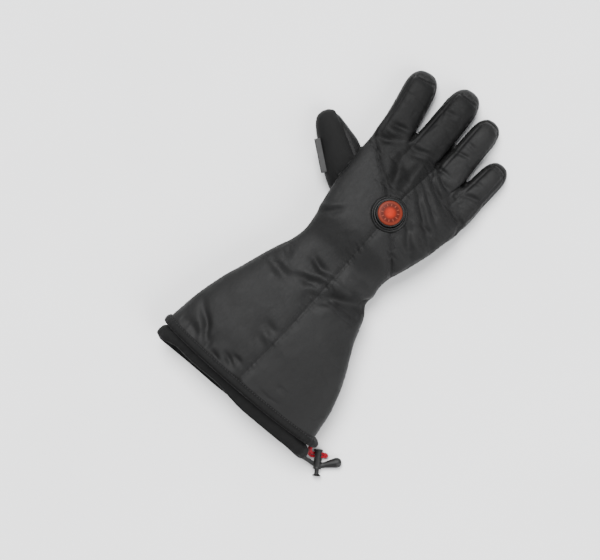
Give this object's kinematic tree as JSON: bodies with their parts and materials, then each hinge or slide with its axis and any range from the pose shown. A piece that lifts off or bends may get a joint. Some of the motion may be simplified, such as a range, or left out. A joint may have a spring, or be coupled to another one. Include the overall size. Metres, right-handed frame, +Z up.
{
  "type": "heated glove",
  "caption": "Padded heated gauntlet glove for the right hand, lying palm down, with a power button on its back and a drawcord lock at its hem",
  "frame": {"origin": "on the resting plane, under the palm leather below the middle of the back of the hand", "axes": "+Y runs to the fingertips, +X to the little finger's side, +Z up from the back of the hand"},
  "size_m": [0.2305, 0.3671, 0.054],
  "materials": {
    "nylon_shell": "woven nylon, matt",
    "softshell": "softshell, matt",
    "goat_leather": "grained, low sheen",
    "stretch_fabric": "knit, matt",
    "binding": "woven tape, matt",
    "liner_knit": "brushed knit, matt",
    "button_rubber": "moulded, satin",
    "lit_lens": "translucent, satin",
    "wiper_rubber": "moulded, satin",
    "elastic_cord": "braided elastic",
    "lock_plastic": "moulded, satin"
  },
  "bodies": {
    "glove": {"gauntlet_thumb_side": "nylon_shell", "back_index_middle": "softshell", "back_ring_little": "nylon_shell", "back_little_side": "nylon_shell", "gauntlet_little_side": "softshell", "palm_leather": "goat_leather", "gauntlet_underside": "nylon_shell", "thumb_back": "stretch_fabric", "thumb_leather": "goat_leather", "hem_binding": "binding", "liner_cuff": "liner_knit", "button_flange": "button_rubber", "visor_wiper": "wiper_rubber", "drawcord": "elastic_cord", "cord_lock": "lock_plastic", "lock_tether": "binding"},
    "button": {"button_cap": "button_rubber", "button_lens": "lit_lens"},
    "plunger": {"lock_plunger": "lock_plastic"}
  },
  "joints": [
    {"name": "button_press", "type": "slide", "parent": "glove", "child": "button", "axis": [0, -0.1469, -0.9892], "range_m": [0, 0.001], "stiffness_N_per_m": 2500},
    {"name": "plunger_press", "type": "slide", "parent": "glove", "child": "plunger", "axis": [-0.5793, 0.8151, 0], "range_m": [0, 0.0024], "stiffness_N_per_m": 1500}
  ]
}
